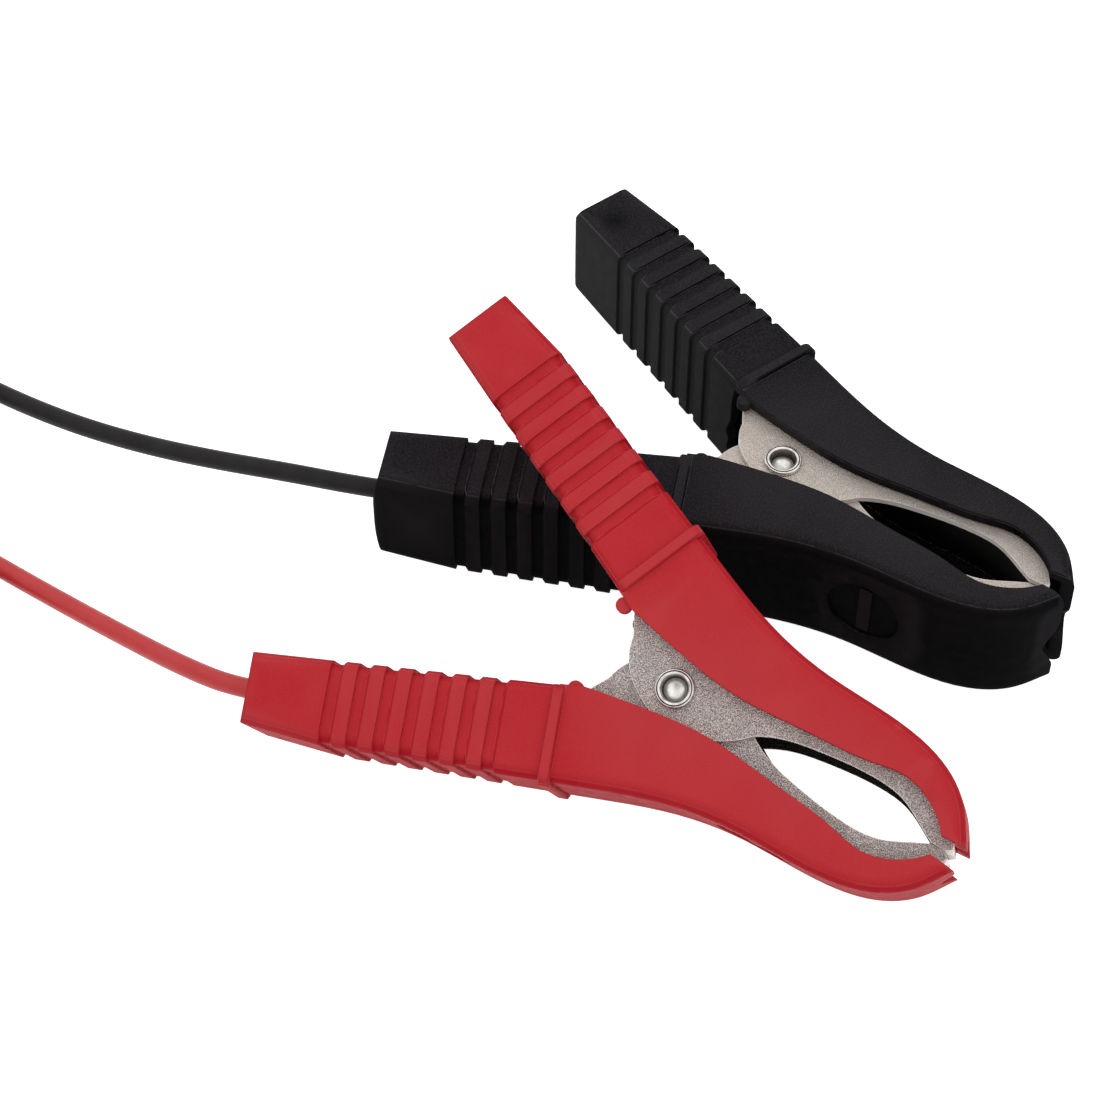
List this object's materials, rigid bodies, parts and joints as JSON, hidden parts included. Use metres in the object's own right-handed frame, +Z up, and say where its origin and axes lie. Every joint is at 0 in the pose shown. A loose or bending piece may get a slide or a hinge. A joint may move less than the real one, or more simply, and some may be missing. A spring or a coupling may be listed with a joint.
{
  "type": "battery charger clamp lead set",
  "caption": "Red and black insulated spring clamps on leads for a car battery charger, with ribbed grips, toothed jaws and ring terminals.",
  "frame": {"origin": "on the floor, under the middle of the two clamps' common box, leads not counted", "axes": "+Z up, the floor plane is XY; -Y is the side that the picture looks from, the jaws point to +X"},
  "size_m": [0.2609, 0.1512, 0.057],
  "materials": {
    "black_sleeve": "soft black vinyl sleeve, fine grain",
    "red_sleeve": "soft red vinyl sleeve, low sheen",
    "black_jaw_steel": "plated sheet steel, granular matte",
    "red_jaw_steel": "plated sheet steel, granular matte",
    "rivet_steel": "rolled tubular rivet",
    "spring_steel": "oiled spring wire",
    "copper_strand": "bare copper strands",
    "crimp_brass": "folded brass crimp",
    "black_lead_jacket": "smooth black cable jacket",
    "red_lead_jacket": "smooth red cable jacket",
    "terminal_tin": "tinned ring terminal",
    "black_terminal_sleeve": "moulded terminal sleeve",
    "red_terminal_sleeve": "moulded terminal sleeve"
  },
  "bodies": {
    "black_lower_half": {"black_lower_cover": "black_sleeve", "black_lower_jaw": "black_jaw_steel", "black_rivet": "rivet_steel", "black_spring": "spring_steel", "black_core": "copper_strand", "black_crimp": "crimp_brass", "black_lead": "black_lead_jacket", "black_lead_coil": "black_lead_jacket", "black_terminal": "terminal_tin", "black_terminal_sleeve": "black_terminal_sleeve"},
    "black_upper_half": {"black_upper_cover": "black_sleeve", "black_upper_jaw": "black_jaw_steel"},
    "red_lower_half": {"red_lower_cover": "red_sleeve", "red_lower_jaw": "red_jaw_steel", "red_rivet": "rivet_steel", "red_spring": "spring_steel", "red_core": "copper_strand", "red_crimp": "crimp_brass", "red_lead": "red_lead_jacket", "red_lead_coil": "red_lead_jacket", "red_terminal": "terminal_tin", "red_terminal_sleeve": "red_terminal_sleeve"},
    "red_upper_half": {"red_upper_cover": "red_sleeve", "red_upper_jaw": "red_jaw_steel"}
  },
  "joints": [
    {"name": "black_clamp_hinge", "type": "hinge", "parent": "black_lower_half", "child": "black_upper_half", "pos_m": [0.02181, 0.00988, 0.0126], "axis": [0, 0, 1], "range_deg": [0, 44], "stiffness_Nm_per_rad": 0.8, "springref_deg": -22.92, "deforming": ["black_spring"]},
    {"name": "red_clamp_lift", "type": "slide", "parent": "black_lower_half", "child": "red_lower_half", "axis": [0, 0, 1], "range_m": [0, 0.05]},
    {"name": "red_clamp_hinge", "type": "hinge", "parent": "red_lower_half", "child": "red_upper_half", "pos_m": [0.0031, -0.0392, 0.02115], "axis": [-0.1558, -0.4632, 0.8725], "range_deg": [0, 44], "stiffness_Nm_per_rad": 0.8, "springref_deg": -22.92, "deforming": ["red_spring"]}
  ]
}
